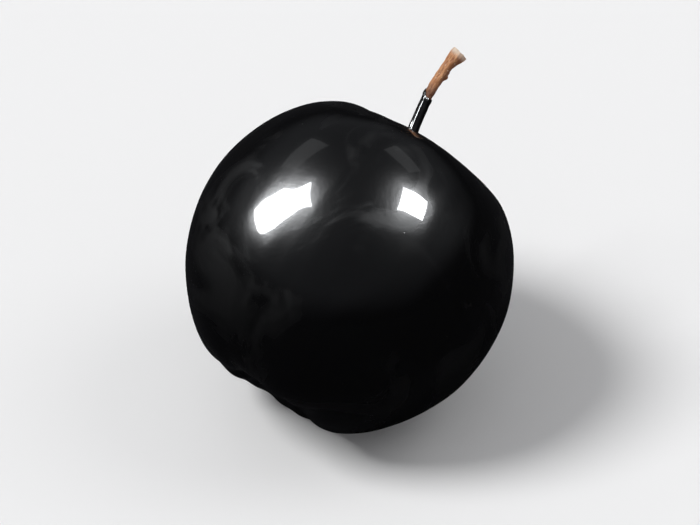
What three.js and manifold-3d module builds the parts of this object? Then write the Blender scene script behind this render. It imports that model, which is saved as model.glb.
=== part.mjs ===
// A whole apple dipped in glossy black wax, lying on the small flat where its soft coat met the shelf.
// Millimetres, +Z up. The origin is on that flat, straight below the middle of the fruit.
// The fruit, stem and sepals are first shaped upright in the fruit's own frame: +Z runs from the calyx
// end to the stem end, phi is the angle from the stem end and theta turns round the core.

import * as THREE from "three";
import { mergeVertices } from "three/addons/utils/BufferGeometryUtils.js";
import Module from "manifold-3d";

const wasm = await Module();
wasm.setup();

// How the fruit lies.
const TILT = THREE.MathUtils.degToRad(54); // of the core from upright
const HEADING = THREE.MathUtils.degToRad(41); // of the stem end, from +Y towards +X
const CENTRE_HEIGHT = 35; // of the fruit's middle; it cuts a flat about 18 mm across

// The fruit's outline from stem end to calyx end.
const CHEEK_RADIUS = 36.5;
const SHOULDER_REACH = 37; // from the middle to where the stem end would be with no cavity
const BASE_REACH = 37; // from the middle to where the calyx end would be with no basin
const SHOULDER_SQUARENESS = 2.12; // superellipse powers
const BASE_SQUARENESS = 2.05;
const CAVITY = { depth: 15, spread: 0.3, power: 1.8 }; // spread is an angle at the middle of the fruit
const BASIN = { depth: 10.5, spread: 0.27, power: 2.1 };
const WAIST = { depth: 0.02, phi: 2.15, spread: 0.55 }; // the slight pinch below the cheeks

// What makes it a grown fruit and not a turned one.
const OVAL = 0.45; // of the cheeks, either side of their mean radius
const LOPSIDE = { height: 0.7, theta: 2.6 }; // one shoulder stands higher
const BASE_LOBES = { count: 5, height: 0.42, from_pole: 0.42, theta: 0.3 };
const SHOULDER_LOBES = { count: 3, height: 0.4, from_pole: 0.5, theta: 1.1 };

const FRUIT_COLUMNS = 60;
const FRUIT_ROWS = 38;
const POLE_CROWDING = 0.5; // rows gather towards the cavity and the basin

// The stem leans to one wall of the cavity and bows back, in a plane through the core.
const BOW_HEADING = THREE.MathUtils.degToRad(30);
const STEM_ROOT = [-0.3, 18]; // distance along BOW_HEADING and height above the fruit's middle
const STEM_ROOT_PULL = [-3.2, 30];
const STEM_TIP_PULL = [-7.3, 42.5];
const STEM_TIP = [-4.7, 54.3];
const STEM_RADIUS = 0.8; // under the wax
const BARE_RADIUS = 1.2; // above the wax
const TIP_RADIUS = 1.95; // of the flared end that tore from the twig
const WAX_EDGE = 0.68; // fraction of the stem's length that the coat reaches
const SWELL_LENGTH = 0.05; // fraction over which the stem widens above the coat
const FLARE_START = 0.86; // fraction at which it starts to flare
const STEM_SIDES = 12;
const STEM_STEPS = 32;
const BUD_SCAR = { at: 0.83, length: 1.5, width: 0.75, height: 0.8 }; // half sizes

// The coat on the lower stem.
const COAT_GAP = 0.15;
const COAT_THICKNESS = 0.35;
const COAT_FOOT = 0.23; // fraction of the stem's length where the coat leaves the cavity floor
const COAT_STEPS = 10;
const SOCKET_GAP = 0.25; // between the stem's root and the flesh
const SOCKET_TOP = 0.4; // fraction of the stem's length that is clear of the flesh
const SOCKET_STEPS = 8;

// The five sepals stand round the bottom of the basin.
const SEPALS = 5;
const BASIN_FLOOR = BASE_REACH - BASIN.depth;
const CALYX_CUP = { inner: 1.2, outer: 2.4, height: 1, foot: 1.5 }; // foot is the cup's height above the floor
const CUP_SIDES = 24;
const SEPAL_OUTLINE = [[1.8, 2], [2.8, 3], [2.3, 4.3], [2.9, 5.9]]; // radius and height above the floor
const SEPAL_WIDTH = 1.5; // half widths
const SEPAL_THICKNESS = 0.4;
const SEPAL_TIP = 0.3; // of the width that is left at the tip
const SEPAL_SIDES = 8;
const SEPAL_STEPS = 7;

const waxMaterial = () => new THREE.MeshStandardMaterial({ color: 0x070708, roughness: 0.16, metalness: 0 });
const barkMaterial = () => new THREE.MeshStandardMaterial({ color: 0x9a6546, roughness: 0.8, metalness: 0 });

// A number from 0 at the stem end to 1 at the calyx end, level at both.
const towardsBase = (phi) => THREE.MathUtils.smoothstep((1 - Math.cos(phi)) / 2, 0, 1);

const hollow = (shape, angle) => shape.depth * Math.exp(-Math.pow(angle / shape.spread, shape.power));

// Rises from nothing at the pole to the full height at from_pole and fades out over the cheeks.
function lobes(shape, angle, theta) {
  const way = angle / shape.from_pole;
  const strength = Math.pow(way * Math.exp(1 - way), 2);
  return shape.height * strength * Math.cos(shape.count * (theta - shape.theta));
}

// The turned outline: distance from the middle of the fruit to its skin.
function outlineRadius(phi) {
  const base = towardsBase(phi);
  const squareness = THREE.MathUtils.lerp(SHOULDER_SQUARENESS, BASE_SQUARENESS, base);
  const reach = THREE.MathUtils.lerp(SHOULDER_REACH, BASE_REACH, base);
  const across = Math.pow(Math.abs(Math.sin(phi)) / CHEEK_RADIUS, squareness);
  const along = Math.pow(Math.abs(Math.cos(phi)) / reach, squareness);
  const pinch = 1 - WAIST.depth * Math.exp(-Math.pow((phi - WAIST.phi) / WAIST.spread, 2));
  return pinch * Math.pow(across + along, -1 / squareness);
}

function fruitRadius(phi, theta) {
  const oval = OVAL * Math.pow(Math.sin(phi), 2) * Math.cos(2 * theta);
  const lopside = LOPSIDE.height * (1 - towardsBase(phi)) * Math.sin(phi) * Math.cos(theta - LOPSIDE.theta);
  const grown = oval + lopside + lobes(SHOULDER_LOBES, phi, theta) + lobes(BASE_LOBES, Math.PI - phi, theta);
  return outlineRadius(phi) + grown - hollow(CAVITY, phi) - hollow(BASIN, Math.PI - phi);
}

function skinPoint(phi, theta) {
  const radius = fruitRadius(phi, theta);
  const across = radius * Math.sin(phi);
  return new THREE.Vector3(across * Math.cos(theta), across * Math.sin(theta), radius * Math.cos(phi));
}

// The triangles between each ring of points and the next, for a number of pairs of rings.
function sleeveIndex(rings, pairs) {
  const sides = rings[0].length;
  const at = (ring, side) => (ring % rings.length) * sides + (side % sides);
  const index = [];
  for (let ring = 0; ring < pairs; ring++) {
    for (let side = 0; side < sides; side++) {
      index.push(at(ring, side), at(ring, side + 1), at(ring + 1, side + 1));
      index.push(at(ring, side), at(ring + 1, side + 1), at(ring + 1, side));
    }
  }
  return index;
}

// A closed surface through rings of points, with a fan at each end.
function loftRings(rings, start, end) {
  const sides = rings[0].length;
  const points = [...rings.flat(), start, end];
  const lastRing = (rings.length - 1) * sides;
  const index = sleeveIndex(rings, rings.length - 1);
  for (let side = 0; side < sides; side++) {
    const next = (side + 1) % sides;
    index.push(points.length - 2, next, side);
    index.push(points.length - 1, lastRing + side, lastRing + next);
  }
  return new THREE.BufferGeometry().setFromPoints(points).setIndex(index);
}

// A closed surface through rings whose last is joined to its first, such as a sleeve.
function loftLoop(rings) {
  return new THREE.BufferGeometry().setFromPoints(rings.flat()).setIndex(sleeveIndex(rings, rings.length));
}

// A ring of points round a curve, at a fraction of its length. The across direction is the one that
// the ring's first radius lies along; the second radius is at right angles to it.
function ringOn(curve, fraction, across, radiusAcross, radiusAlong, sides) {
  const middle = curve.getPointAt(fraction);
  const tangent = curve.getTangentAt(fraction);
  const second = new THREE.Vector3().crossVectors(tangent, across).normalize();
  const first = new THREE.Vector3().crossVectors(second, tangent).normalize();
  const ring = [];
  for (let side = 0; side < sides; side++) {
    const turn = (2 * Math.PI * side) / sides;
    const point = middle.clone().addScaledVector(first, radiusAcross * Math.cos(turn));
    ring.push(point.addScaledVector(second, radiusAlong * Math.sin(turn)));
  }
  return ring;
}

function toSolid(geometry) {
  const bare = geometry.clone();
  bare.deleteAttribute("normal");
  bare.deleteAttribute("uv");
  const merged = mergeVertices(bare);
  const vertProperties = merged.attributes.position.array;
  const triVerts = new Uint32Array(merged.index.array);
  return new wasm.Manifold(new wasm.Mesh({ numProp: 3, vertProperties, triVerts }));
}

function toGeometry(solid) {
  const mesh = solid.getMesh();
  const geometry = new THREE.BufferGeometry();
  geometry.setAttribute("position", new THREE.BufferAttribute(mesh.vertProperties, 3));
  geometry.setIndex(new THREE.BufferAttribute(mesh.triVerts, 1));
  geometry.computeVertexNormals();
  return geometry;
}

const ACROSS_STEM = new THREE.Vector3(Math.cos(BOW_HEADING), Math.sin(BOW_HEADING), 0);
const onBowPlane = ([across, height]) => ACROSS_STEM.clone().multiplyScalar(across).setZ(height);
const stemCurve = new THREE.CubicBezierCurve3(
  ...[STEM_ROOT, STEM_ROOT_PULL, STEM_TIP_PULL, STEM_TIP].map(onBowPlane),
);

function stemRadius(fraction) {
  const bare = THREE.MathUtils.smoothstep(fraction, WAX_EDGE, WAX_EDGE + SWELL_LENGTH);
  const flare = THREE.MathUtils.smoothstep(fraction, FLARE_START, 1);
  return STEM_RADIUS + (BARE_RADIUS - STEM_RADIUS) * bare + (TIP_RADIUS - BARE_RADIUS) * flare;
}

function roundRings(curve, from, to, steps, radiusAt) {
  const rings = [];
  for (let step = 0; step <= steps; step++) {
    const fraction = THREE.MathUtils.lerp(from, to, step / steps);
    const radius = radiusAt(fraction);
    rings.push(ringOn(curve, fraction, ACROSS_STEM, radius, radius, STEM_SIDES));
  }
  return rings;
}

// The waxed skin, from the cavity over the cheeks to the basin, before the flat and the socket are cut.
function grownFruit() {
  const rings = [];
  for (let row = FRUIT_ROWS - 1; row > 0; row--) {
    const way = row / FRUIT_ROWS;
    const phi = Math.PI * way - (POLE_CROWDING / 2) * Math.sin(2 * Math.PI * way);
    const ring = [];
    for (let column = 0; column < FRUIT_COLUMNS; column++) {
      ring.push(skinPoint(phi, (2 * Math.PI * column) / FRUIT_COLUMNS));
    }
    rings.push(ring);
  }
  return loftRings(rings, skinPoint(Math.PI, 0), skinPoint(0, 0));
}

// What the stem's root fills in the flesh, with its clearance.
function stemSocket() {
  const rings = roundRings(stemCurve, 0, SOCKET_TOP, SOCKET_STEPS, () => STEM_RADIUS + SOCKET_GAP);
  const below = stemCurve.getTangentAt(0).multiplyScalar(-SOCKET_GAP);
  const foot = rings[0].map((point) => point.clone().add(below));
  return loftRings([foot, ...rings], stemCurve.getPointAt(0).add(below), stemCurve.getPointAt(SOCKET_TOP));
}

function waxedFruit(place) {
  const wide = 4 * CHEEK_RADIUS; // clear of the fruit all round
  const shelf = new THREE.BoxGeometry(wide, wide, wide).translate(0, 0, -wide / 2);
  const fruit = toSolid(grownFruit().applyMatrix4(place));
  const socket = toSolid(stemSocket().applyMatrix4(place));
  return toGeometry(fruit.subtract(socket).subtract(toSolid(shelf)));
}

function stem() {
  const shaft = loftRings(
    roundRings(stemCurve, 0, 1, STEM_STEPS, stemRadius),
    stemCurve.getPointAt(0),
    stemCurve.getPointAt(1),
  );
  const scar = new THREE.SphereGeometry(1, STEM_SIDES, STEM_SIDES / 2);
  scar.scale(BUD_SCAR.width, BUD_SCAR.height, BUD_SCAR.length);
  const tangent = stemCurve.getTangentAt(BUD_SCAR.at);
  scar.applyQuaternion(new THREE.Quaternion().setFromUnitVectors(new THREE.Vector3(0, 0, 1), tangent));
  const side = ACROSS_STEM.clone().multiplyScalar(stemRadius(BUD_SCAR.at));
  const seat = stemCurve.getPointAt(BUD_SCAR.at).add(side);
  scar.translate(seat.x, seat.y, seat.z);
  return toGeometry(toSolid(shaft).add(toSolid(scar)));
}

function stemCoat() {
  const inner = STEM_RADIUS + COAT_GAP;
  const outside = roundRings(stemCurve, COAT_FOOT, WAX_EDGE, COAT_STEPS, () => inner + COAT_THICKNESS);
  const inside = roundRings(stemCurve, WAX_EDGE, COAT_FOOT, COAT_STEPS, () => inner);
  return loftLoop([...outside, ...inside]);
}

function sepal(theta) {
  const outward = new THREE.Vector3(Math.cos(theta), Math.sin(theta), 0);
  const points = SEPAL_OUTLINE.map(([radius, height]) => {
    return outward.clone().multiplyScalar(radius).setZ(-BASIN_FLOOR - height);
  });
  const curve = new THREE.CatmullRomCurve3(points);
  const across = new THREE.Vector3(-outward.y, outward.x, 0);
  const rings = [];
  for (let step = 0; step <= SEPAL_STEPS; step++) {
    const fraction = step / SEPAL_STEPS;
    const width = SEPAL_WIDTH * (1 - (1 - SEPAL_TIP) * Math.pow(fraction, 2));
    rings.push(ringOn(curve, fraction, across, width, SEPAL_THICKNESS, SEPAL_SIDES));
  }
  return loftRings(rings, curve.getPointAt(0), curve.getPointAt(1));
}

// The sepals grow from a low cup, which is what is left of the flower.
function calyx() {
  const low = -BASIN_FLOOR - CALYX_CUP.foot;
  const corners = [[CALYX_CUP.inner, 0], [CALYX_CUP.inner, -1], [CALYX_CUP.outer, -1], [CALYX_CUP.outer, 0]];
  const outline = corners.map(([radius, end]) => new THREE.Vector2(radius, low + end * CALYX_CUP.height));
  const cup = new THREE.LatheGeometry([...outline, outline[0]], CUP_SIDES);
  cup.rotateX(Math.PI / 2);
  let solid = toSolid(cup);
  for (let count = 0; count < SEPALS; count++) {
    solid = solid.add(toSolid(sepal(BASE_LOBES.theta + (2 * Math.PI * count) / SEPALS)));
  }
  return toGeometry(solid);
}

function named(name, geometry, material) {
  const mesh = new THREE.Mesh(geometry, material);
  mesh.name = name;
  return mesh;
}

// The upright fruit's frame, leaned over on its cheek and lifted onto the flat.
const lean = new THREE.Group();
lean.rotation.set(-TILT, 0, -HEADING, "ZXY");
lean.position.set(0, 0, CENTRE_HEIGHT);
lean.updateMatrix();
lean.add(named("stem", stem(), barkMaterial()));
lean.add(named("stem_wax_coat", stemCoat(), waxMaterial()));
lean.add(named("calyx", calyx(), waxMaterial()));

const apple = new THREE.Group();
apple.add(named("waxed_fruit", waxedFruit(lean.matrix), waxMaterial()));
apple.add(lean);

export default apple;
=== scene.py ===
"""A whole apple dipped in glossy black wax, lying on the small flat where its soft coat met the shelf.

Everything is in metres in the part's frame: +Z up, the origin on the rest flat. The fruit, stem and
sepals are shaped upright in the fruit's own frame, in millimetres, and then leaned over and scaled.
phi is the angle from the stem end and theta turns round the core.
"""

import math

import bpy
import numpy as np
from mathutils import Matrix, Vector, noise


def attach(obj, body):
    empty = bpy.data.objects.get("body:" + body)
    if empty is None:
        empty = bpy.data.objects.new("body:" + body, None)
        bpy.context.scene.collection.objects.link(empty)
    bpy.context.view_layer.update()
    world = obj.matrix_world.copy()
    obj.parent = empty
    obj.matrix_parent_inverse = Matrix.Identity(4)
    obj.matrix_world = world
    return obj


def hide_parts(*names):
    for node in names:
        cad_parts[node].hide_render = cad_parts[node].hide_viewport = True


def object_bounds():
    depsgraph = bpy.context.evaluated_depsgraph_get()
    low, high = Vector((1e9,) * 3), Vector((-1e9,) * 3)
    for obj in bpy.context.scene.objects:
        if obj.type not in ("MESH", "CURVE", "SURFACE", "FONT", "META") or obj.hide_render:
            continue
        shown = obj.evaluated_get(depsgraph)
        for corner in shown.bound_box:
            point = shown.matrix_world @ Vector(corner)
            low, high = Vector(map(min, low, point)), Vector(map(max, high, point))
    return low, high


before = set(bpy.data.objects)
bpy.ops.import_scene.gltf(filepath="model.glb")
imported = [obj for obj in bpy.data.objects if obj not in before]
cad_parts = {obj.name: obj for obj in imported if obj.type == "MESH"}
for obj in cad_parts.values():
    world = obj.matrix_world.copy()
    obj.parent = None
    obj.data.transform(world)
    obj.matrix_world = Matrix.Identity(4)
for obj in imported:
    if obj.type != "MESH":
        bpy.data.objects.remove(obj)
cad_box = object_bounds()

MM = 0.001
BODY = "root"

# How the fruit lies.
TILT = math.radians(54)
HEADING = math.radians(41)
CENTRE_HEIGHT = 35.0

# The fruit's outline from stem end to calyx end.
CHEEK_RADIUS = 36.5
SHOULDER_REACH = 37.0
BASE_REACH = 37.0
SHOULDER_SQUARENESS = 2.12
BASE_SQUARENESS = 2.05
CAVITY = {"depth": 15.0, "spread": 0.3, "power": 1.8}
BASIN = {"depth": 10.5, "spread": 0.27, "power": 2.1}
WAIST = {"depth": 0.02, "phi": 2.15, "spread": 0.55}
OVAL = 0.45
LOPSIDE = {"height": 0.7, "theta": 2.6}
BASE_LOBES = {"count": 5, "height": 0.42, "from_pole": 0.42, "theta": 0.3}
SHOULDER_LOBES = {"count": 3, "height": 0.4, "from_pole": 0.5, "theta": 1.1}

# The stem, as distance along its bow plane and height above the fruit's middle.
BOW_HEADING = math.radians(30)
STEM_ROOT = (-0.3, 18.0)
STEM_ROOT_PULL = (-3.2, 30.0)
STEM_TIP_PULL = (-7.3, 42.5)
STEM_TIP = (-4.7, 54.3)
WAX_EDGE = 0.68  # fraction of the stem's length that its coat reaches
FLARE_START = 0.86
TIP_RADIUS = 1.95

BASIN_FLOOR = BASE_REACH - BASIN["depth"]


# ---------------------------------------------------------------- shapes in numbers


def smoothstep(value, low, high):
    way = np.clip((value - low) / (high - low), 0.0, 1.0)
    return way * way * (3.0 - 2.0 * way)


def blend(low, high, way):
    return low + (high - low) * way


def bump(distance, spread):
    return np.exp(-((distance / spread) ** 2))


def hollow(shape, angle):
    return shape["depth"] * np.exp(-((angle / shape["spread"]) ** shape["power"]))


def lobes(shape, angle, theta):
    way = angle / shape["from_pole"]
    strength = (way * np.exp(1.0 - way)) ** 2
    return shape["height"] * strength * np.cos(shape["count"] * (theta - shape["theta"]))


def towards_base(phi):
    return smoothstep((1.0 - np.cos(phi)) / 2.0, 0.0, 1.0)


def fruit_radius(phi, theta):
    """Distance from the middle of the fruit to its skin, before the wax's own unevenness."""
    base = towards_base(phi)
    squareness = blend(SHOULDER_SQUARENESS, BASE_SQUARENESS, base)
    reach = blend(SHOULDER_REACH, BASE_REACH, base)
    across = (np.abs(np.sin(phi)) / CHEEK_RADIUS) ** squareness
    along = (np.abs(np.cos(phi)) / reach) ** squareness
    pinch = 1.0 - WAIST["depth"] * bump(phi - WAIST["phi"], WAIST["spread"])
    outline = pinch * (across + along) ** (-1.0 / squareness)
    oval = OVAL * np.sin(phi) ** 2 * np.cos(2.0 * theta)
    lopside = LOPSIDE["height"] * (1.0 - base) * np.sin(phi) * np.cos(theta - LOPSIDE["theta"])
    grown = lobes(SHOULDER_LOBES, phi, theta) + lobes(BASE_LOBES, np.pi - phi, theta)
    return outline + oval + lopside + grown - hollow(CAVITY, phi) - hollow(BASIN, np.pi - phi)


def polar(radius, phi, theta):
    across = radius * np.sin(phi)
    return np.stack([across * np.cos(theta), across * np.sin(theta), radius * np.cos(phi)], axis=-1)


def smooth_noise(points, size, offset):
    """Perlin noise at each point, about -0.5 to 0.5, with features of the given size."""
    shift = Vector((offset, -offset, 2.0 * offset))
    return np.array([noise.noise(Vector(p) / size + shift) for p in points])


# The upright fruit's frame, leaned over on its cheek and lifted onto the flat.
LEAN = (
    Matrix.Translation((0.0, 0.0, CENTRE_HEIGHT))
    @ Matrix.Rotation(-HEADING, 4, "Z")
    @ Matrix.Rotation(-TILT, 4, "X")
)


def leaned(points):
    turn = np.array(LEAN)
    return points @ turn[:3, :3].T + turn[:3, 3]


class Route:
    """A planar cubic through four points in the bow plane, walked by fraction of its length."""

    SAMPLES = 600

    def __init__(self, corners, heading):
        side = np.array([math.cos(heading), math.sin(heading), 0.0])
        up = np.array([0.0, 0.0, 1.0])
        points = [across * side + height * up for across, height in corners]
        way = np.linspace(0.0, 1.0, self.SAMPLES)[:, None]
        weights = [(1 - way) ** 3, 3 * way * (1 - way) ** 2, 3 * way**2 * (1 - way), way**3]
        self.line = sum(w * p for w, p in zip(weights, points))
        steps = np.linalg.norm(np.diff(self.line, axis=0), axis=1)
        self.length = steps.sum()
        self.fractions = np.concatenate([[0.0], np.cumsum(steps)]) / self.length
        self.plane_normal = np.cross(up, side)

    def at(self, fraction):
        """Points, side directions and back directions at fractions of the length."""
        inside = np.clip(fraction, 0.0, 1.0)
        point = np.stack([np.interp(inside, self.fractions, self.line[:, k]) for k in range(3)], axis=-1)
        slopes = np.gradient(self.line, axis=0)
        tangent = np.stack([np.interp(inside, self.fractions, slopes[:, k]) for k in range(3)], axis=-1)
        tangent /= np.linalg.norm(tangent, axis=-1, keepdims=True)
        side = np.cross(self.plane_normal, tangent)
        point = point + tangent * ((fraction - inside) * self.length)[..., None]
        return point, side, np.broadcast_to(self.plane_normal, side.shape)

    def ring_points(self, fraction, radius, theta):
        point, side, back = self.at(fraction)
        return point + side * (radius * np.cos(theta))[..., None] + back * (radius * np.sin(theta))[..., None]


STEM_ROUTE = Route([STEM_ROOT, STEM_ROOT_PULL, STEM_TIP_PULL, STEM_TIP], BOW_HEADING)


# ---------------------------------------------------------------- meshes


def make_piece(name, points_mm, faces, material, node=None, bark_place=None):
    """A smooth closed piece from points in the part's frame, in millimetres."""
    mesh = bpy.data.meshes.new(name)
    mesh.from_pydata((points_mm * MM).tolist(), [], faces)
    mesh.polygons.foreach_set("use_smooth", [True] * len(mesh.polygons))
    if bark_place is not None:
        place = mesh.attributes.new("bark_place", "FLOAT_VECTOR", "POINT")
        place.data.foreach_set("vector", bark_place.ravel())
    mesh.materials.append(material)
    mesh.update()
    piece = bpy.data.objects.new(name, mesh)
    bpy.context.scene.collection.objects.link(piece)
    register(piece, node)
    return piece


def register(piece, node=None):
    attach(piece, BODY)
    if node:
        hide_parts(node)


def ring_faces(rows, columns, loop=False):
    """Faces of a grid whose rows are rings. A loop also joins the last ring to the first."""
    row = np.arange(rows if loop else rows - 1)[:, None]
    column = np.arange(columns)[None, :]
    here = row * columns + column
    beside = row * columns + (column + 1) % columns
    above = ((row + 1) % rows) * columns + column
    above_beside = ((row + 1) % rows) * columns + (column + 1) % columns
    return np.stack([here, beside, above_beside, above], axis=-1).reshape(-1, 4).tolist()


def cap_faces(rows, columns):
    """Fans from the two points that follow the grid's points to its first and last rings."""
    first, last = rows * columns, rows * columns + 1
    top = (rows - 1) * columns
    start = [(first, (k + 1) % columns, k) for k in range(columns)]
    end = [(last, top + k, top + (k + 1) % columns) for k in range(columns)]
    return start + end


# ---------------------------------------------------------------- shader groups


def add_node(tree, kind, x, y, **values):
    node = tree.nodes.new(kind)
    node.location = (x, y)
    for key, value in values.items():
        setattr(node, key, value)
    return node


def feed(tree, socket, value):
    """Sets a socket to a number or a colour, or links another node's output to it."""
    if isinstance(value, (int, float)):
        socket.default_value = value
    elif isinstance(value, tuple):
        socket.default_value = (*value, 1.0)
    else:
        tree.links.new(value, socket)


def new_group(name, inputs, outputs):
    """A shader node group with named inputs: numbers with their defaults, or a vector where it is None."""
    tree = bpy.data.node_groups.new(name, "ShaderNodeTree")
    for label, default in inputs.items():
        kind = "NodeSocketVector" if default is None else "NodeSocketFloat"
        socket = tree.interface.new_socket(label, in_out="INPUT", socket_type=kind)
        if default is not None:
            socket.default_value = default
    for label, kind in outputs.items():
        tree.interface.new_socket(label, in_out="OUTPUT", socket_type=kind)
    entry = add_node(tree, "NodeGroupInput", -900, 0)
    leave = add_node(tree, "NodeGroupOutput", 900, 0)
    return tree, entry, leave


def math_node(tree, operation, first, second, x, y):
    node = add_node(tree, "ShaderNodeMath", x, y, operation=operation)
    for socket, value in zip(node.inputs, (first, second)):
        feed(tree, socket, value)
    return node.outputs[0]


def noise_node(tree, vector, scale, detail, x, y, distortion=0.0):
    node = add_node(tree, "ShaderNodeTexNoise", x, y)
    tree.links.new(vector, node.inputs["Vector"])
    settings = {"Scale": scale, "Detail": detail, "Distortion": distortion}
    for label, setting in settings.items():
        feed(tree, node.inputs[label], setting)
    return node.outputs["Fac"]


def ramp_node(tree, value, low, high, x, y, to_low=0.0, to_high=1.0):
    """A smooth step from one value at low to another at high."""
    node = add_node(tree, "ShaderNodeMapRange", x, y, interpolation_type="SMOOTHSTEP")
    tree.links.new(value, node.inputs["Value"])
    settings = {"From Min": low, "From Max": high, "To Min": to_low, "To Max": to_high}
    for label, setting in settings.items():
        feed(tree, node.inputs[label], setting)
    return node.outputs["Result"]


def mix_colour(tree, way, first, second, x, y):
    node = add_node(tree, "ShaderNodeMix", x, y, data_type="RGBA")
    factor, colour_a, colour_b = node.inputs["Factor"], node.inputs[6], node.inputs[7]
    for socket, value in ((factor, way), (colour_a, first), (colour_b, second)):
        feed(tree, socket, value)
    return node.outputs[2]


def dust_group():
    """Sparse pale specks and wiped smudges, as masks from 0 to 1."""
    inputs = {"Vector": None, "Speck Scale": 900.0, "Speck Amount": 0.1, "Smudge Scale": 60.0}
    outputs = {"Specks": "NodeSocketFloat", "Smudge": "NodeSocketFloat"}
    tree, entry, leave = new_group("dust_and_smudges", inputs, outputs)
    cells = add_node(tree, "ShaderNodeTexVoronoi", -600, 200)
    tree.links.new(entry.outputs["Vector"], cells.inputs["Vector"])
    tree.links.new(entry.outputs["Speck Scale"], cells.inputs["Scale"])
    chosen = add_node(tree, "ShaderNodeSeparateColor", -400, 320)
    tree.links.new(cells.outputs["Color"], chosen.inputs["Color"])
    few = math_node(tree, "LESS_THAN", chosen.outputs["Red"], entry.outputs["Speck Amount"], -200, 320)
    size = ramp_node(tree, chosen.outputs["Green"], 0.0, 1.0, -200, 160, 0.05, 0.13)
    dot = ramp_node(tree, cells.outputs["Distance"], size, 0.02, 0, 160)
    tree.links.new(math_node(tree, "MULTIPLY", few, dot, 200, 200), leave.inputs["Specks"])
    where, scale = entry.outputs["Vector"], entry.outputs["Smudge Scale"]
    broad = noise_node(tree, where, scale, 3.0, -600, -200, distortion=1.2)
    tree.links.new(ramp_node(tree, broad, 0.48, 0.72, -200, -200), leave.inputs["Smudge"])
    return tree


def grain_group():
    """Fine roughness as a height, and broader blotches, both from 0 to 1."""
    inputs = {"Vector": None, "Scale": 40.0, "Detail": 4.0}
    outputs = {"Height": "NodeSocketFloat", "Blotches": "NodeSocketFloat"}
    tree, entry, leave = new_group("fine_grain", inputs, outputs)
    where, scale = entry.outputs["Vector"], entry.outputs["Scale"]
    fine = noise_node(tree, where, scale, entry.outputs["Detail"], -400, 150)
    tree.links.new(ramp_node(tree, fine, 0.3, 0.7, 0, 150), leave.inputs["Height"])
    third = math_node(tree, "MULTIPLY", scale, 0.3, -600, -150)
    broad = noise_node(tree, where, third, 2.0, -400, -150)
    tree.links.new(ramp_node(tree, broad, 0.35, 0.65, 0, -150), leave.inputs["Blotches"])
    return tree


def place_group(tree, group, vector, x, y, **values):
    node = add_node(tree, "ShaderNodeGroup", x, y)
    node.node_tree = group
    tree.links.new(vector, node.inputs["Vector"])
    for label, value in values.items():
        node.inputs[label.replace("_", " ")].default_value = value
    return node


# Colours, as linear red, green and blue.
WAX_DEEP = (0.0004, 0.0004, 0.0005)
WAX_CLOUD = (0.0014, 0.0014, 0.0017)
WAX_WIPED = (0.003, 0.003, 0.0034)
WAX_DUST = (0.035, 0.034, 0.033)
BARK_FURROW = (0.24, 0.078, 0.024)
BARK_RIDGE = (0.68, 0.35, 0.165)
BARK_BLOTCH = (0.43, 0.175, 0.066)
BARK_SHADED = (0.13, 0.034, 0.012)
BARK_BY_WAX = (0.085, 0.022, 0.01)
BARK_SPECK = (0.62, 0.5, 0.4)
TORN_DARK = (0.6, 0.43, 0.32)
TORN_PALE = (0.72, 0.62, 0.5)
CORK_DARK = (0.42, 0.27, 0.17)
CORK_PALE = (0.66, 0.5, 0.36)

DUST = dust_group()
GRAIN = grain_group()


def new_material(name):
    material = bpy.data.materials.new(name)
    material.use_nodes = True
    tree = material.node_tree
    shader = tree.nodes["Principled BSDF"]
    shader.location = (700, 0)
    tree.nodes["Material Output"].location = (1000, 0)
    return material, tree, shader


def black_wax_material(name, speck_amount, haze):
    """Hard black wax: a sharp clear surface over a faintly hazy body, with dust, smudges and dips."""
    material, tree, shader = new_material(name)
    place = add_node(tree, "ShaderNodeTexCoord", -1100, 0).outputs["Object"]
    specks = {"Speck_Scale": 800.0, "Speck_Amount": speck_amount}
    dust = place_group(tree, DUST, place, -800, 200, Smudge_Scale=55.0, **specks)
    grain = place_group(tree, GRAIN, place, -800, -200, Scale=950.0, Detail=2.0)
    cloudy = noise_node(tree, place, 38.0, 4.0, -800, 500)
    body = mix_colour(tree, cloudy, WAX_DEEP, WAX_CLOUD, -400, 500)
    half_smudge = math_node(tree, "MULTIPLY", dust.outputs["Smudge"], 0.5, -400, 300)
    wiped = mix_colour(tree, half_smudge, body, WAX_WIPED, -150, 400)
    dusted = mix_colour(tree, dust.outputs["Specks"], wiped, WAX_DUST, 100, 400)
    tree.links.new(dusted, shader.inputs["Base Color"])
    smudged = ramp_node(tree, dust.outputs["Smudge"], 0.0, 1.0, -150, 100, haze, haze + 0.16)
    rough_speck = math_node(tree, "MULTIPLY", dust.outputs["Specks"], 0.4, -150, -50)
    tree.links.new(math_node(tree, "ADD", smudged, rough_speck, 100, 100), shader.inputs["Roughness"])
    clear = ramp_node(tree, dust.outputs["Specks"], 0.0, 1.0, 100, -100, 1.0, 0.2)
    tree.links.new(clear, shader.inputs["Coat Weight"])
    peel = add_node(tree, "ShaderNodeBump", 400, -300)
    peel.inputs["Strength"].default_value = 0.08
    peel.inputs["Distance"].default_value = 0.00006
    height = math_node(tree, "ADD", grain.outputs["Height"], dust.outputs["Specks"], 100, -300)
    tree.links.new(height, peel.inputs["Height"])
    tree.links.new(peel.outputs["Normal"], shader.inputs["Normal"])
    shader.inputs["IOR"].default_value = 1.43
    shader.inputs["Specular IOR Level"].default_value = 0.42
    shader.inputs["Coat Roughness"].default_value = 0.045
    shader.inputs["Coat IOR"].default_value = 1.47
    return material


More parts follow.
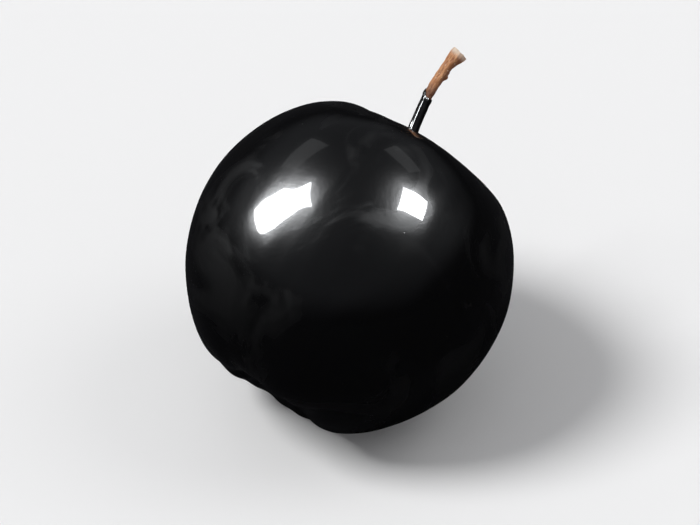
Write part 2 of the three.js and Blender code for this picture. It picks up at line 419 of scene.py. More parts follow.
def bark_material():
    """Dry orange-brown bark with ridges along the stem, darker by the wax, with painted shade down one side.
    """
    material, tree, shader = new_material("dry_bark")
    # The bark's own space: a unit circle round the stem, and the fraction of its length.
    read = add_node(tree, "ShaderNodeAttribute", -1500, 0, attribute_name="bark_place")
    bark_place = read.outputs["Vector"]
    split = add_node(tree, "ShaderNodeSeparateXYZ", -1300, 0)
    tree.links.new(bark_place, split.inputs["Vector"])
    along = split.outputs["Z"]
    lengthwise = add_node(tree, "ShaderNodeVectorMath", -1100, 0, operation="MULTIPLY")
    tree.links.new(bark_place, lengthwise.inputs[0])
    lengthwise.inputs[1].default_value = (1.0, 1.0, 7.0)
    streaks = place_group(tree, GRAIN, lengthwise.outputs["Vector"], -800, 100, Scale=4.5, Detail=5.0)
    place = add_node(tree, "ShaderNodeTexCoord", -1100, 400).outputs["Object"]
    flecks = place_group(tree, GRAIN, place, -800, 400, Scale=1400.0, Detail=3.0)
    specks = {"Speck_Scale": 1600.0, "Speck_Amount": 0.12}
    dust = place_group(tree, DUST, place, -800, 700, Smudge_Scale=300.0, **specks)
    bark = mix_colour(tree, streaks.outputs["Height"], BARK_FURROW, BARK_RIDGE, -500, 200)
    patchy = math_node(tree, "MULTIPLY", flecks.outputs["Blotches"], 0.55, -650, 420)
    blotched = mix_colour(tree, patchy, bark, BARK_BLOTCH, -300, 250)
    near_wax = ramp_node(tree, along, WAX_EDGE + 0.01, WAX_EDGE + 0.09, -500, -150, 0.75, 0.0)
    # Painted shade: the bark is painted darker towards one side of the stem, standing in for the shade on its
    # unlit side.
    painted_shade_side = ramp_node(tree, split.outputs["X"], 0.1, 0.95, -500, -550, 0.0, 0.75)
    painted_shade_bark = mix_colour(tree, painted_shade_side, blotched, BARK_SHADED, -200, 300)
    stained = mix_colour(tree, near_wax, painted_shade_bark, BARK_BY_WAX, -100, 200)
    tip = ramp_node(tree, along, 0.955, 0.995, -500, -350)
    torn = mix_colour(tree, streaks.outputs["Blotches"], TORN_DARK, TORN_PALE, -300, -350)
    ended = mix_colour(tree, math_node(tree, "MULTIPLY", tip, 0.8, -300, -500), stained, torn, 100, 150)
    pale_speck = math_node(tree, "MULTIPLY", dust.outputs["Specks"], 0.5, -300, 650)
    dusted = mix_colour(tree, pale_speck, ended, BARK_SPECK, 300, 200)
    tree.links.new(dusted, shader.inputs["Base Color"])
    dry = ramp_node(tree, streaks.outputs["Height"], 0.0, 1.0, 100, -100, 0.5, 0.78)
    tree.links.new(dry, shader.inputs["Roughness"])
    relief = math_node(tree, "ADD", streaks.outputs["Height"], flecks.outputs["Height"], 100, -350)
    ridges = add_node(tree, "ShaderNodeBump", 400, -300)
    ridges.inputs["Strength"].default_value = 0.7
    ridges.inputs["Distance"].default_value = 0.00012
    tree.links.new(relief, ridges.inputs["Height"])
    tree.links.new(ridges.outputs["Normal"], shader.inputs["Normal"])
    shader.inputs["Specular IOR Level"].default_value = 0.2
    return material


def lenticel_material():
    """Corky pale breathing spots on the bark."""
    material, tree, shader = new_material("corky_spots")
    place = add_node(tree, "ShaderNodeTexCoord", -700, 0).outputs["Object"]
    grain = place_group(tree, GRAIN, place, -500, 0, Scale=2600.0, Detail=2.0)
    cork = mix_colour(tree, grain.outputs["Height"], CORK_DARK, CORK_PALE, -200, 100)
    tree.links.new(cork, shader.inputs["Base Color"])
    dry = ramp_node(tree, grain.outputs["Blotches"], 0.0, 1.0, -200, -150, 0.7, 0.9)
    tree.links.new(dry, shader.inputs["Roughness"])
    return material


# ---------------------------------------------------------------- geometry node trees


def geometry_tree(name, inputs):
    """A geometry tree with a mesh input, then named inputs given as label: (socket type, default)."""
    tree = bpy.data.node_groups.new(name, "GeometryNodeTree")
    tree.interface.new_socket("Geometry", in_out="INPUT", socket_type="NodeSocketGeometry")
    for label, (kind, default) in inputs.items():
        socket = tree.interface.new_socket(label, in_out="INPUT", socket_type=kind)
        if default is not None:
            socket.default_value = default
    tree.interface.new_socket("Geometry", in_out="OUTPUT", socket_type="NodeSocketGeometry")
    entry = add_node(tree, "NodeGroupInput", -900, 0)
    leave = add_node(tree, "NodeGroupOutput", 900, 0)
    return tree, entry, leave


def finish_instances(tree, entry, instances, leave):
    """Ends a tree: realise the copies, smooth them and set their material."""
    real = add_node(tree, "GeometryNodeRealizeInstances", 300, 0)
    smooth = add_node(tree, "GeometryNodeSetShadeSmooth", 480, 0)
    paint = add_node(tree, "GeometryNodeSetMaterial", 660, 0)
    tree.links.new(instances, real.inputs["Geometry"])
    tree.links.new(real.outputs["Geometry"], smooth.inputs["Geometry"])
    tree.links.new(smooth.outputs["Geometry"], paint.inputs["Geometry"])
    tree.links.new(entry.outputs["Material"], paint.inputs["Material"])
    tree.links.new(paint.outputs["Geometry"], leave.inputs["Geometry"])


def random_node(tree, low, high, seed, x, y):
    """A random number of its own for each copy."""
    node = add_node(tree, "FunctionNodeRandomValue", x, y, data_type="FLOAT")
    lowest, highest = node.inputs[2], node.inputs[3]
    for socket, value in ((lowest, low), (highest, high), (node.inputs["Seed"], seed)):
        feed(tree, socket, value)
    return node.outputs[1]


def scatter_tree():
    """Small copies of one object over the input surface, each turned to stand on it."""
    inputs = {
        "Copy": ("NodeSocketObject", None),
        "Density": ("NodeSocketFloat", 1000.0),
        "Apart": ("NodeSocketFloat", 0.001),
        "Smallest": ("NodeSocketFloat", 0.5),
        "Largest": ("NodeSocketFloat", 1.0),
        "Lowest": ("NodeSocketFloat", 0.0),
        "Seed": ("NodeSocketInt", 1),
        "Material": ("NodeSocketMaterial", None),
    }
    tree, entry, leave = geometry_tree("scatter_on_skin", inputs)
    spread = add_node(tree, "GeometryNodeDistributePointsOnFaces", -600, 100, distribute_method="POISSON")
    tree.links.new(entry.outputs["Geometry"], spread.inputs["Mesh"])
    tree.links.new(entry.outputs["Apart"], spread.inputs["Distance Min"])
    tree.links.new(entry.outputs["Density"], spread.inputs["Density Max"])
    tree.links.new(entry.outputs["Seed"], spread.inputs["Seed"])
    split = add_node(tree, "ShaderNodeSeparateXYZ", -1000, 300)
    position = add_node(tree, "GeometryNodeInputPosition", -1200, 300)
    tree.links.new(position.outputs["Position"], split.inputs["Vector"])
    clear = math_node(tree, "GREATER_THAN", split.outputs["Z"], entry.outputs["Lowest"], -800, 300)
    tree.links.new(clear, spread.inputs["Selection"])
    shape = add_node(tree, "GeometryNodeObjectInfo", -600, -200)
    tree.links.new(entry.outputs["Copy"], shape.inputs["Object"])
    place = add_node(tree, "GeometryNodeInstanceOnPoints", 0, 0)
    tree.links.new(spread.outputs["Points"], place.inputs["Points"])
    tree.links.new(spread.outputs["Rotation"], place.inputs["Rotation"])
    tree.links.new(shape.outputs["Geometry"], place.inputs["Instance"])
    smallest, largest = entry.outputs["Smallest"], entry.outputs["Largest"]
    size = random_node(tree, smallest, largest, entry.outputs["Seed"], -300, -300)
    tree.links.new(size, place.inputs["Scale"])
    finish_instances(tree, entry, place.outputs["Instances"], leave)
    return tree


def circle_tree():
    """Copies of the input mesh in a circle round Z, each with a little turn and size of its own."""
    inputs = {
        "Count": ("NodeSocketInt", 5),
        "Radius": ("NodeSocketFloat", 0.002),
        "Unevenness": ("NodeSocketFloat", 0.2),
        "Seed": ("NodeSocketInt", 1),
        "Material": ("NodeSocketMaterial", None),
    }
    tree, entry, leave = geometry_tree("circle_of_copies", inputs)
    circle = add_node(tree, "GeometryNodeMeshCircle", -600, 200)
    tree.links.new(entry.outputs["Count"], circle.inputs["Vertices"])
    tree.links.new(entry.outputs["Radius"], circle.inputs["Radius"])
    place = add_node(tree, "GeometryNodeInstanceOnPoints", 50, 0)
    tree.links.new(circle.outputs["Mesh"], place.inputs["Points"])
    tree.links.new(entry.outputs["Geometry"], place.inputs["Instance"])
    index = add_node(tree, "GeometryNodeInputIndex", -600, -100).outputs["Index"]
    step = math_node(tree, "DIVIDE", 2.0 * math.pi, entry.outputs["Count"], -450, -100)
    turn = math_node(tree, "MULTIPLY", index, step, -300, -100)
    less = math_node(tree, "MULTIPLY", entry.outputs["Unevenness"], -1.0, -600, -300)
    wobble = random_node(tree, less, entry.outputs["Unevenness"], entry.outputs["Seed"], -450, -300)
    join = add_node(tree, "ShaderNodeCombineXYZ", -150, -100)
    tree.links.new(wobble, join.inputs["Y"])
    tree.links.new(math_node(tree, "ADD", turn, wobble, -250, -250), join.inputs["Z"])
    tree.links.new(join.outputs["Vector"], place.inputs["Rotation"])
    tree.links.new(math_node(tree, "ADD", wobble, 1.0, -250, -400), place.inputs["Scale"])
    finish_instances(tree, entry, place.outputs["Instances"], leave)
    return tree


def grown_mesh(name, source, tree, **values):
    """The plain mesh that a geometry tree makes from a source object."""
    modifier = source.modifiers.new("grow", "NODES")
    modifier.node_group = tree
    sockets = {s.name: s.identifier for s in tree.interface.items_tree if s.in_out == "INPUT"}
    for label, value in values.items():
        modifier[sockets[label]] = value
    graph = bpy.context.evaluated_depsgraph_get()
    mesh = bpy.data.meshes.new_from_object(source.evaluated_get(graph), depsgraph=graph)
    mesh.name = name
    source.modifiers.remove(modifier)
    piece = bpy.data.objects.new(name, mesh)
    bpy.context.scene.collection.objects.link(piece)
    return piece


def helper_object(name, points, faces):
    mesh = bpy.data.meshes.new(name)
    mesh.from_pydata(points.tolist(), [], faces)
    mesh.update()
    helper = bpy.data.objects.new(name, mesh)
    bpy.context.scene.collection.objects.link(helper)
    return helper


def discard(*helpers):
    for helper in helpers:
        mesh = helper.data
        bpy.data.objects.remove(helper)
        bpy.data.meshes.remove(mesh)


SCATTER = scatter_tree()
CIRCLE = circle_tree()

# ---------------------------------------------------------------- the fruit

FRUIT_ROWS = 220
FRUIT_COLUMNS = 400
POLE_CROWDING = 0.55

# The wax's own unevenness: height and size of each, in millimetres.
WAX_SWELLS = (0.2, 21.0)
WAX_WAVES = (0.026, 8.0)
WAX_PEEL = (0.003, 2.6)
WAX_RUNS = {"height": 0.05, "size": 5.0, "squash": 0.12}  # ridges drained from stem to calyx
NOISE_START, NOISE_STEP, RUNS_NOISE = 3.7, 11.3, 57.0  # places in the noise, so that no layers match
PUCKERS = {"count": 13, "height": 0.3, "from_pole": 0.2, "theta": 0.9}
PUCKERS_FADE_IN = (0.04, 0.13)  # angles from the pole: the basin's floor is smooth
MENISCUS = {"height": 1.3, "spread": 1.7, "within": 1.0}  # wax drawn up the stem's foot
STEM_LINE_STEP = 20  # every so many points of the stem's line are enough to measure to
FOOT_BEAD = {"width": 0.35, "height": 0.9, "spread": 0.8}  # wax pressed out round the rest flat


def wax_unevenness(directions):
    on_skin = directions * CHEEK_RADIUS
    total = np.zeros(len(directions))
    for layer, (height, size) in enumerate((WAX_SWELLS, WAX_WAVES, WAX_PEEL)):
        total += 2.0 * height * smooth_noise(on_skin, size, NOISE_START + NOISE_STEP * layer)
    drawn_out = directions * np.array([1.0, 1.0, WAX_RUNS["squash"]]) * CHEEK_RADIUS
    return total + 2.0 * WAX_RUNS["height"] * smooth_noise(drawn_out, WAX_RUNS["size"], RUNS_NOISE)


def stem_foot_lift(points):
    """How much the wax climbs near the stem's foot."""
    line = STEM_ROUTE.line[::STEM_LINE_STEP]
    gaps = np.linalg.norm(points[:, None, :] - line[None, :, :], axis=-1)
    return MENISCUS["height"] * bump(gaps.min(axis=1), MENISCUS["spread"])


def settle_on_floor(points):
    """Flattens what would reach below the floor and presses a thin bead of wax out round the flat."""
    height = points[:, 2].copy()
    outward = points[:, :2] / np.maximum(np.linalg.norm(points[:, :2], axis=1, keepdims=True), 1.0)
    near = bump(height - FOOT_BEAD["height"] / 2.0, FOOT_BEAD["spread"]) * (height > 0.0)
    rise = smoothstep(height, 0.0, FOOT_BEAD["height"] / 2.0)
    points[:, :2] += outward * (FOOT_BEAD["width"] * near * rise)[:, None]
    points[:, 2] = np.maximum(height, 0.0)
    return points


def waxed_fruit(material):
    way = np.linspace(0.0, 1.0, FRUIT_ROWS + 2)[1:-1][::-1]
    phi_rows = np.pi * way - (POLE_CROWDING / 2.0) * np.sin(2.0 * np.pi * way)
    theta_columns = np.linspace(0.0, 2.0 * np.pi, FRUIT_COLUMNS, endpoint=False)
    phi, theta = (grid.ravel() for grid in np.meshgrid(phi_rows, theta_columns, indexing="ij"))
    phi = np.concatenate([phi, [np.pi, 0.0]])
    theta = np.concatenate([theta, [0.0, 0.0]])
    directions = polar(np.ones_like(phi), phi, theta)
    puckers = lobes(PUCKERS, np.pi - phi, theta) * smoothstep(np.pi - phi, *PUCKERS_FADE_IN)
    radius = fruit_radius(phi, theta) + wax_unevenness(directions) + puckers
    points = directions * radius[:, None]
    points[:, 2] += stem_foot_lift(points) * (phi < MENISCUS["within"])
    placed = settle_on_floor(leaned(points))
    faces = ring_faces(FRUIT_ROWS, FRUIT_COLUMNS) + cap_faces(FRUIT_ROWS, FRUIT_COLUMNS)
    return make_piece("black_waxed_skin", placed, faces, material, "waxed_fruit")


# ---------------------------------------------------------------- the stem and its coat

STEM_SIDES = 72
STEM_ROWS = 260
WOOD_UNDER_WAX = 0.95
WOOD_ABOVE_WAX = 1.14
SWELL = 0.03  # fraction of the length, either side of the wax's edge, over which the wood widens
FLARE_EASE = 1.3
TIP_OVAL = {"height": 0.1, "theta": 0.6}
RIDGES = ((5, 0.035, 0.4), (9, 0.018, 2.0), (14, 0.01, 1.2))  # count, depth, turn
RIDGE_TWIST = 5.0
KNOBS = ((0.09, 1.6, 5.0), (0.05, 0.5, 9.0))  # height, size, offset of the noise
BUD_SCAR = {"at": 0.835, "length": 0.03, "theta": 0.1, "spread": 0.55, "height": 0.65}
BUD_DENT = {"at": 0.847, "length": 0.011, "theta": 0.1, "spread": 0.22, "height": -0.3}

# The torn end: rings that close in from the rim, and what they rise and fall by.
TIP_RINGS = (0.97, 0.9, 0.8, 0.68, 0.54, 0.4, 0.26, 0.12)
TIP_RIM = {"width": 0.2, "rounding": 0.18}
TIP_DISH = {"depth": 0.42, "from": 0.2, "to": 0.9}
TIP_PITH = {"height": 0.16, "spread": 0.22}
TIP_TEARS = ((3, 0.072, 1.0), (7, 0.042, 0.0))  # count, height, turn
TIP_MIDDLE_DEPTH = 0.2

COAT_THICKNESS = 0.3
COAT_START = 0.1  # fraction of the stem's length, inside the fruit
COAT_SIDES = 72
COAT_ROWS = 220
COAT_ROW_EASE = 0.9  # gathers the rows towards the lip
COAT_GRIP = 0.06  # how far the sleeve's inside sinks into the wood
COAT_FOOT = {"height": 2.4, "reach": 0.22}
COAT_LIP = 0.028  # the length that rounds off, as a fraction of the sleeve
COAT_BEAD = {"height": 0.1, "at": 0.955, "spread": 0.02}
COAT_DROP = {"height": 0.06, "at": 0.62, "spread": 0.04, "theta": 2.0}
COAT_DRAINED = {"height": 0.05, "theta": 0.9, "twist": 2.0}  # thicker down one side
COAT_EDGE_SLANT = {"height": 0.026, "theta": 2.6}  # as a fraction of the stem's length
COAT_EDGE_WAVES = ((2, 0.007, 0.8), (5, 0.004, 0.0))  # count, height, turn
COAT_UNEVENNESS = (0.07, 2.2, 21.0)  # height, size, offset of the noise


def waves(terms, theta):
    """The sum of waves round the stem, each given as count, height and turn."""
    return sum(height * np.cos(count * theta + turn) for count, height, turn in terms)


def stem_knob(knob, fraction, theta):
    """A swelling or a dent on one side of the stem."""
    gap = np.abs((theta - knob["theta"] + np.pi) % (2.0 * np.pi) - np.pi)
    return knob["height"] * bump(fraction - knob["at"], knob["length"]) * bump(gap, knob["spread"])


def wood_radius(fraction, theta):
    bare = smoothstep(fraction, WAX_EDGE - SWELL, WAX_EDGE + SWELL)
    flare = smoothstep(fraction, FLARE_START, 1.0) ** FLARE_EASE
    radius = blend(WOOD_UNDER_WAX, WOOD_ABOVE_WAX, bare)
    tip = TIP_RADIUS * (1.0 + TIP_OVAL["height"] * np.cos(theta - TIP_OVAL["theta"]))
    radius = blend(radius, tip, flare)
    for count, depth, turn in RIDGES:
        radius = radius * (1.0 + depth * np.cos(count * theta + turn + RIDGE_TWIST * fraction))
    return radius + stem_knob(BUD_SCAR, fraction, theta) + stem_knob(BUD_DENT, fraction, theta)


def grid_of(fractions, sides):
    theta = np.linspace(0.0, 2.0 * np.pi, sides, endpoint=False)
    return (grid.ravel() for grid in np.meshgrid(fractions, theta, indexing="ij"))


def torn_end():
    """Rings that roll over the torn rim and dip towards the pith, with how far in each point is."""
    inward, theta = grid_of(np.array(TIP_RINGS), STEM_SIDES)
    edge = np.clip((inward - 1.0 + TIP_RIM["width"]) / TIP_RIM["width"], 0.0, 1.0)
    rolled = TIP_RIM["rounding"] * np.sqrt(1.0 - edge**2)
    dish = TIP_DISH["depth"] * smoothstep(1.0 - inward, TIP_DISH["from"], TIP_DISH["to"])
    pith = TIP_PITH["height"] * bump(inward, TIP_PITH["spread"])
    ragged = inward * waves(TIP_TEARS, theta)
    rise = (rolled - dish + pith + ragged) / STEM_ROUTE.length
    radius = inward * wood_radius(np.ones_like(inward), theta)
    return STEM_ROUTE.ring_points(1.0 + rise, radius, theta), inward, theta


def woody_stem(material):
    """The shaft's rings, then the torn end's."""
    shaft, theta = grid_of(np.linspace(0.0, 1.0, STEM_ROWS), STEM_SIDES)
    radius = wood_radius(shaft, theta)
    smooth = STEM_ROUTE.ring_points(shaft, radius, theta)
    radius = radius + sum(height * smooth_noise(smooth, size, offset) for height, size, offset in KNOBS)
    body = STEM_ROUTE.ring_points(shaft, radius, theta)
    end, inward, end_theta = torn_end()
    poles = STEM_ROUTE.at(np.array([0.0, 1.0 - TIP_MIDDLE_DEPTH / STEM_ROUTE.length]))[0]
    points = leaned(np.concatenate([body, end, poles]))
    rows = STEM_ROWS + len(TIP_RINGS)
    faces = ring_faces(rows, STEM_SIDES) + cap_faces(rows, STEM_SIDES)
    along = np.concatenate([shaft, np.ones_like(inward), [0.0, 1.0]])
    reach = np.concatenate([np.ones_like(shaft), inward, [0.0, 0.0]])
    around = np.concatenate([theta, end_theta, [0.0, 0.0]])
    bark_place = np.stack([reach * np.cos(around), reach * np.sin(around), along], axis=-1)
    return make_piece("woody_stem", points, faces, material, "stem", bark_place)


def coat_edge(theta):
    """Where the coat ends on the stem: a wavy line that runs higher on one side."""
    slant = COAT_EDGE_SLANT["height"] * np.cos(theta - COAT_EDGE_SLANT["theta"])
    return WAX_EDGE + slant + waves(COAT_EDGE_WAVES, theta)


def coat_thickness(way, theta):
    """Thickness from the flared foot, way 0, to the rounded lip, way 1."""
    foot = COAT_FOOT["height"] * (1.0 - smoothstep(way, 0.0, COAT_FOOT["reach"])) ** 2
    rounding = np.clip((way - 1.0 + COAT_LIP) / COAT_LIP, 0.0, 1.0)
    lip = np.sqrt(np.clip(1.0 - rounding**2, 0.0, 1.0))
    bead = COAT_BEAD["height"] * bump(way - COAT_BEAD["at"], COAT_BEAD["spread"])
    one_side = 1.0 + np.cos(theta - COAT_DROP["theta"])
    drop = COAT_DROP["height"] * bump(way - COAT_DROP["at"], COAT_DROP["spread"]) * one_side
    turned = theta - COAT_DRAINED["theta"] + COAT_DRAINED["twist"] * way
    drained = COAT_DRAINED["height"] * np.cos(turned)
    return (COAT_THICKNESS + bead + drained + drop + foot) * lip


def stem_coat(material):
    """A sleeve: rings up its outside to the lip, then down its inside."""
    rising = np.linspace(0.0, 1.0, COAT_ROWS) ** COAT_ROW_EASE
    way, theta = grid_of(rising, COAT_SIDES)
    fraction = blend(COAT_START, coat_edge(theta), way)
    radius = wood_radius(fraction, theta) + coat_thickness(way, theta)
    below_lip = way < 1.0 - COAT_LIP
    height, size, offset = COAT_UNEVENNESS
    uneven = height * smooth_noise(STEM_ROUTE.ring_points(fraction, radius, theta), size, offset)
    outside = STEM_ROUTE.ring_points(fraction, radius + uneven * below_lip, theta)
    back, back_theta = grid_of(rising[::-1][1:], COAT_SIDES)
    back_fraction = blend(COAT_START, coat_edge(back_theta), back)
    back_radius = wood_radius(back_fraction, back_theta) - COAT_GRIP
    inside = STEM_ROUTE.ring_points(back_fraction, back_radius, back_theta)
    points = leaned(np.concatenate([outside, inside]))
    faces = ring_faces(2 * COAT_ROWS - 1, COAT_SIDES, loop=True)
    return make_piece("stem_wax", points, faces, material, "stem_wax_coat")


LENTICEL_SPAN = (WAX_EDGE + 0.05, 0.95)  # fractions of the stem's length
DOME_SINK = 0.25  # fraction of a dome's height that lies under the surface it stands on


def bark_spots(stem, material):
    """Lenticels on the bare part of the stem."""
    bare = helper_object("bare_bark", *bare_surface(stem))
    spot = helper_object("spot", *dome(radius=0.2 * MM, height=0.07 * MM, sides=10, rings=4))
    piece = grown_mesh(
        "bark_lenticels", bare, SCATTER,
        Copy=spot, Density=0.9e6, Apart=0.001, Smallest=0.45, Largest=1.0, Seed=4, Material=material,
    )
    discard(bare, spot)
    register(piece)
    return piece


def bare_surface(stem):
    """The stem's faces from just above the wax to just below the torn end."""
    low, high = (int(fraction * STEM_ROWS) for fraction in LENTICEL_SPAN)
    points = np.empty(len(stem.data.vertices) * 3)
    stem.data.vertices.foreach_get("co", points)
    rows = points.reshape(-1, 3)[low * STEM_SIDES : high * STEM_SIDES]
    return rows, ring_faces(high - low, STEM_SIDES)


def dome(radius, height, sides, rings):
    """A closed bump whose skirt lies just under the surface that it stands on."""
    spread = np.linspace(1.0, 0.0, rings + 1)[:-1]
    theta = np.linspace(0.0, 2.0 * np.pi, sides, endpoint=False)
    level = -DOME_SINK * height + height * np.cos(spread * np.pi / 2.0) ** 2
    grid = np.stack(
        [
            radius * spread[:, None] * np.cos(theta),
            radius * spread[:, None] * np.sin(theta),
            level[:, None] * np.ones_like(theta),
        ],
        axis=-1,
    ).reshape(-1, 3)
    ends = np.array([[0.0, 0.0, -2.0 * DOME_SINK * height], [0.0, 0.0, (1.0 - DOME_SINK) * height]])
    return np.concatenate([grid, ends]), ring_faces(rings, sides) + cap_faces(rings, sides)


def wax_pimples(skin, material):
    """Grains that the coat ran over, and small blisters in it."""
    pimple = helper_object("pimple", *dome(radius=0.6 * MM, height=0.06 * MM, sides=20, rings=8))
    piece = grown_mesh(
        "wax_pimples", skin, SCATTER,
        Copy=pimple, Density=700.0, Apart=0.009, Smallest=0.35, Largest=1.0, Lowest=0.003, Seed=11,
        Material=material,
    )
    discard(pimple)
    register(piece)
    return piece


# ---------------------------------------------------------------- the calyx

SEPALS = 5
# Radius and height above the floor of the basin.
SEPAL_OUTLINE = ((1.7, 1.2), (2.9, 2.7), (2.9, 4.0), (2.1, 5.0), (2.5, 6.0))
SEPAL_HALF_WIDTH = 1.55
SEPAL_HALF_THICKNESS = 0.38
SEPAL_TAPER = {"start": 2.2, "blunt": 0.8, "tip": 0.14, "thinning": 0.45}
SEPAL_CUP = 0.25
SEPAL_POINT = 0.1  # how far the tip stands out of its last ring
SEPAL_SIDES = 24
SEPAL_ROWS = 36
STAMENS = 11
STAMEN_SIDES = 10
STAMEN_ROWS = 14
STAMEN_RADIUS = 0.2
STAMEN_KNOB = {"height": 0.16, "at": 0.9, "spread": 0.09}
STAMEN_TIP_RADIUS = 0.12
STAMEN_BEND = 0.5
STAMEN_FOOT, STAMEN_LENGTH = 0.6, 3.1  # height of its first ring above the floor, and its length
STAMEN_ENDS = (0.5, 3.8)  # heights of the points that close it


def smooth_line(corners, count):
    """Points on a smooth line through the corners, evenly spaced by corner."""
    corners = np.array(corners)
    knots = np.linspace(0.0, len(corners) - 1.0, count)
    padded = np.vstack([2 * corners[0] - corners[1], corners, 2 * corners[-1] - corners[-2]])
    start = np.minimum(knots.astype(int), len(corners) - 2)
    way = (knots - start)[:, None]
    before, here, after, beyond = (padded[start + k] for k in range(4))
    return 0.5 * (
        2 * here
        + (after - before) * way
        + (2 * before - 5 * here + 4 * after - beyond) * way**2
        + (3 * here - before - 3 * after + beyond) * way**3
    )


def sepal_shape():
    """One sepal in the X-Z plane, in metres, growing up Z from the calyx floor at Z 0."""
    line = smooth_line(SEPAL_OUTLINE, SEPAL_ROWS)
    slope = np.gradient(line, axis=0)
    slope /= np.linalg.norm(slope, axis=1, keepdims=True)
    way = np.linspace(0.0, 1.0, SEPAL_ROWS)
    narrowing = (1.0 - way ** SEPAL_TAPER["start"]) ** SEPAL_TAPER["blunt"]
    width = SEPAL_HALF_WIDTH * narrowing + SEPAL_TAPER["tip"]
    thickness = SEPAL_HALF_THICKNESS * (1.0 - SEPAL_TAPER["thinning"] * way)
    turn = np.linspace(2.0 * np.pi, 0.0, SEPAL_SIDES, endpoint=False)
    across = width[:, None] * np.cos(turn)
    out = thickness[:, None] * np.sin(turn) - SEPAL_CUP * across**2 / SEPAL_HALF_WIDTH
    grid = np.stack(
        [
            line[:, :1] + slope[:, 1:] * out,
            across,
            line[:, 1:] - slope[:, :1] * out,
        ],
        axis=-1,
    ).reshape(-1, 3)
    (foot_x, foot_z), (tip_x, tip_z) = line[0], line[-1]
    ends = np.array([[foot_x, 0.0, foot_z], [tip_x, 0.0, tip_z + SEPAL_POINT]])
    faces = ring_faces(SEPAL_ROWS, SEPAL_SIDES) + cap_faces(SEPAL_ROWS, SEPAL_SIDES)
    return np.concatenate([grid, ends]) * MM, faces


def stamen_shape():
    """A dried stamen under wax: a bent rod with a small knob, in metres."""
    height = np.linspace(0.0, 1.0, STAMEN_ROWS)
    turn = np.linspace(0.0, 2.0 * np.pi, STAMEN_SIDES, endpoint=False)
    knob = STAMEN_KNOB["height"] * bump(height - STAMEN_KNOB["at"], STAMEN_KNOB["spread"])
    radius = STAMEN_RADIUS + knob
    radius[-1] = STAMEN_TIP_RADIUS
    grid = np.stack(
        [
            (STAMEN_BEND * height**2)[:, None] + radius[:, None] * np.cos(turn),
            radius[:, None] * np.sin(turn),
            (STAMEN_FOOT + STAMEN_LENGTH * height)[:, None] * np.ones_like(turn),
        ],
        axis=-1,
    ).reshape(-1, 3)
    lowest, highest = STAMEN_ENDS
    ends = np.array([[0.0, 0.0, lowest], [STAMEN_BEND, 0.0, highest]])
    faces = ring_faces(STAMEN_ROWS, STAMEN_SIDES) + cap_faces(STAMEN_ROWS, STAMEN_SIDES)
    return np.concatenate([grid, ends]) * MM, faces


def to_calyx(piece):
    """Moves a piece made on the calyx floor to its place at the bottom of the basin."""
    floor = Matrix.Translation((0.0, 0.0, -BASIN_FLOOR * MM)) @ Matrix.Rotation(math.pi, 4, "X")
    lean_metres = LEAN.copy()
    lean_metres.translation = LEAN.translation * MM
    piece.data.transform(lean_metres @ floor @ Matrix.Rotation(-BASE_LOBES["theta"], 4, "Z"))
    piece.data.update()
    return piece


def calyx(material):
    one = helper_object("one_sepal", *sepal_shape())
    sepals = grown_mesh(
        "waxed_sepals", one, CIRCLE, Count=SEPALS, Radius=0.0001, Unevenness=0.09, Seed=3, Material=material
    )
    register(to_calyx(sepals), "calyx")
    rod = helper_object("one_stamen", *stamen_shape())
    stamens = grown_mesh(
        "waxed_stamens", rod, CIRCLE, Count=STAMENS, Radius=0.0011, Unevenness=0.3, Seed=8, Material=material
    )
    register(to_calyx(stamens))
    discard(one, rod)


# ---------------------------------------------------------------- floor, light and camera

FLOOR_SIZE = 12.0
FLOOR_DROP = 0.05  # in millimetres, below the rest flat
LIGHT_DISTANCE = 1.2
CAMERA_ELEVATION = math.radians(40.2)
CAMERA_DISTANCE = 0.695
CAMERA_LENS = 160.0
SENSOR = 36.0

FLOOR_PALE = (0.8, 0.8, 0.8)
FLOOR_IN_GLOSS = (0.01, 0.01, 0.011)
WALLS_IN_GLOSS = (0.008, 0.008, 0.009)
CEILING_IN_GLOSS = (0.085, 0.088, 0.095)
ROOM_GLOW = (0.4, 0.4, 0.41)
BACKDROP = (0.87, 0.87, 0.87)
PANE_COLOUR = (0.96, 0.98, 1.0)


def plain_floor():
    """A pale floor that the gloss sees darker, so that the wax keeps its black."""
    half = FLOOR_SIZE / 2.0
    mesh = bpy.data.meshes.new("floor")
    corners = ((-half, -half), (half, -half), (half, half), (-half, half))
    mesh.from_pydata([(x, y, -FLOOR_DROP * MM) for x, y in corners], [], [(0, 1, 2, 3)])
    floor = bpy.data.objects.new("floor", mesh)
    bpy.context.scene.collection.objects.link(floor)
    material, tree, shader = new_material("pale_floor")
    shader.inputs["Roughness"].default_value = 0.9
    shader.inputs["Specular IOR Level"].default_value = 0.0
    path = add_node(tree, "ShaderNodeLightPath", -200, 0)
    pale = mix_colour(tree, path.outputs["Is Glossy Ray"], FLOOR_PALE, FLOOR_IN_GLOSS, 200, 0)
    tree.links.new(pale, shader.inputs["Base Color"])
    mesh.materials.append(material)


def room():
    """Pale to the camera, softly bright to matt surfaces, and to gloss a dim ceiling over dark walls."""
    world = bpy.data.worlds.new("studio")
    bpy.context.scene.world = world
    world.use_nodes = True
    tree = world.node_tree
    background = tree.nodes["Background"]
    background.inputs["Strength"].default_value = 1.0
    path = add_node(tree, "ShaderNodeLightPath", -600, 300)
    place = add_node(tree, "ShaderNodeTexCoord", -900, 0)
    split = add_node(tree, "ShaderNodeSeparateXYZ", -700, 0)
    tree.links.new(place.outputs["Generated"], split.inputs["Vector"])
    height = ramp_node(tree, split.outputs["Z"], 0.05, 0.45, -500, 0)
    dim = mix_colour(tree, height, WALLS_IN_GLOSS, CEILING_IN_GLOSS, -250, 0)
    lit = mix_colour(tree, path.outputs["Is Camera Ray"], ROOM_GLOW, BACKDROP, -250, 300)
    seen = mix_colour(tree, path.outputs["Is Glossy Ray"], lit, dim, 0, 100)
    tree.links.new(seen, background.inputs["Color"])


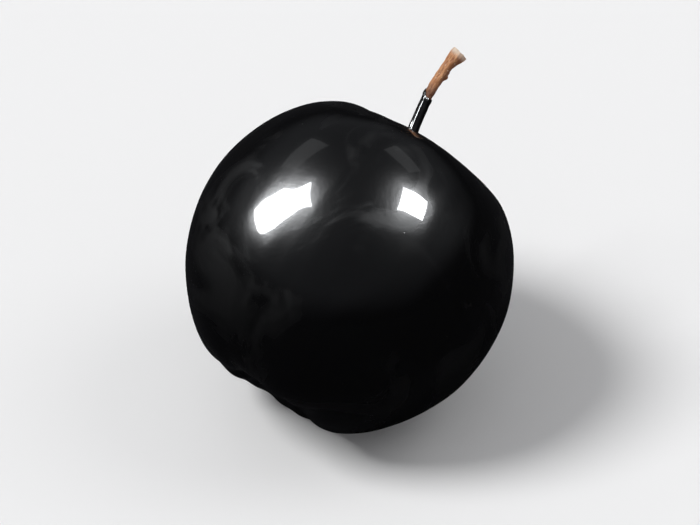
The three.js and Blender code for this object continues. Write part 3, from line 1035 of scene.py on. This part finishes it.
def add_light(name, kind, direction, distance, for_gloss):
    """A light that faces the middle of the fruit, seen either by gloss only or by matt surfaces only."""
    data = bpy.data.lights.new(name, kind)
    lamp = bpy.data.objects.new(name, data)
    bpy.context.scene.collection.objects.link(lamp)
    away = Vector(direction).normalized()
    lamp.location = Vector((0.0, 0.0, CENTRE_HEIGHT * MM)) + away * distance
    lamp.rotation_euler = away.to_track_quat("Z", "Y").to_euler()
    lamp.visible_glossy = for_gloss
    lamp.visible_diffuse = not for_gloss
    lamp.visible_camera = False
    return data


def window(name, direction, size, power):
    """A cool bright pane for the wax to mirror."""
    data = add_light(name, "AREA", direction, LIGHT_DISTANCE, True)
    data.shape = "RECTANGLE"
    data.size, data.size_y = size
    data.energy = power
    data.color = PANE_COLOUR


def soft_sun(name, direction, strength, softness):
    """Even light for the floor and the bark, with a soft shadow."""
    data = add_light(name, "SUN", direction, LIGHT_DISTANCE, False)
    data.energy = strength
    data.angle = softness


def studio_light():
    window("left_window", (-0.66, 0.08, 0.7), (0.31, 0.7), 36.0)
    window("left_blind", (-0.435, 0.541, 0.72), (0.5, 0.3), 0.16)
    window("right_window", (0.571, -0.039, 0.82), (0.34, 0.45), 24.0)
    window("right_blind", (0.435, 0.52, 0.73), (0.4, 0.3), 0.12)
    soft_sun("key", (-0.6, -0.1, 0.8), 2.4, math.radians(22))
    soft_sun("fill", (0.65, 0.1, 0.75), 0.42, math.radians(35))


def camera():
    data = bpy.data.cameras.new("camera")
    data.sensor_width = SENSOR
    data.lens = CAMERA_LENS
    data.clip_start = 0.01
    view = bpy.data.objects.new("camera", data)
    bpy.context.scene.collection.objects.link(view)
    low, high = cad_box
    aim = Vector(((low.x + high.x) / 2.0, (low.y + high.y) / 2.0, (low.z + high.z) / 2.0))
    back = Vector((0.0, -math.cos(CAMERA_ELEVATION), math.sin(CAMERA_ELEVATION)))
    view.location = aim + back * CAMERA_DISTANCE
    view.rotation_mode = "QUATERNION"
    view.rotation_quaternion = back.to_track_quat("Z", "Y")
    bpy.context.scene.camera = view


def colour_management():
    settings = bpy.context.scene.view_settings
    settings.view_transform = "Standard"
    settings.look = "None"


skin_wax = black_wax_material("black_wax_skin", speck_amount=0.015, haze=0.23)
trim_wax = black_wax_material("black_wax_trim", speck_amount=0.015, haze=0.24)
skin = waxed_fruit(skin_wax)
stem = woody_stem(bark_material())
stem_coat(trim_wax)
bark_spots(stem, lenticel_material())
wax_pimples(skin, skin_wax)
calyx(trim_wax)
plain_floor()
room()
studio_light()
camera()
colour_management()
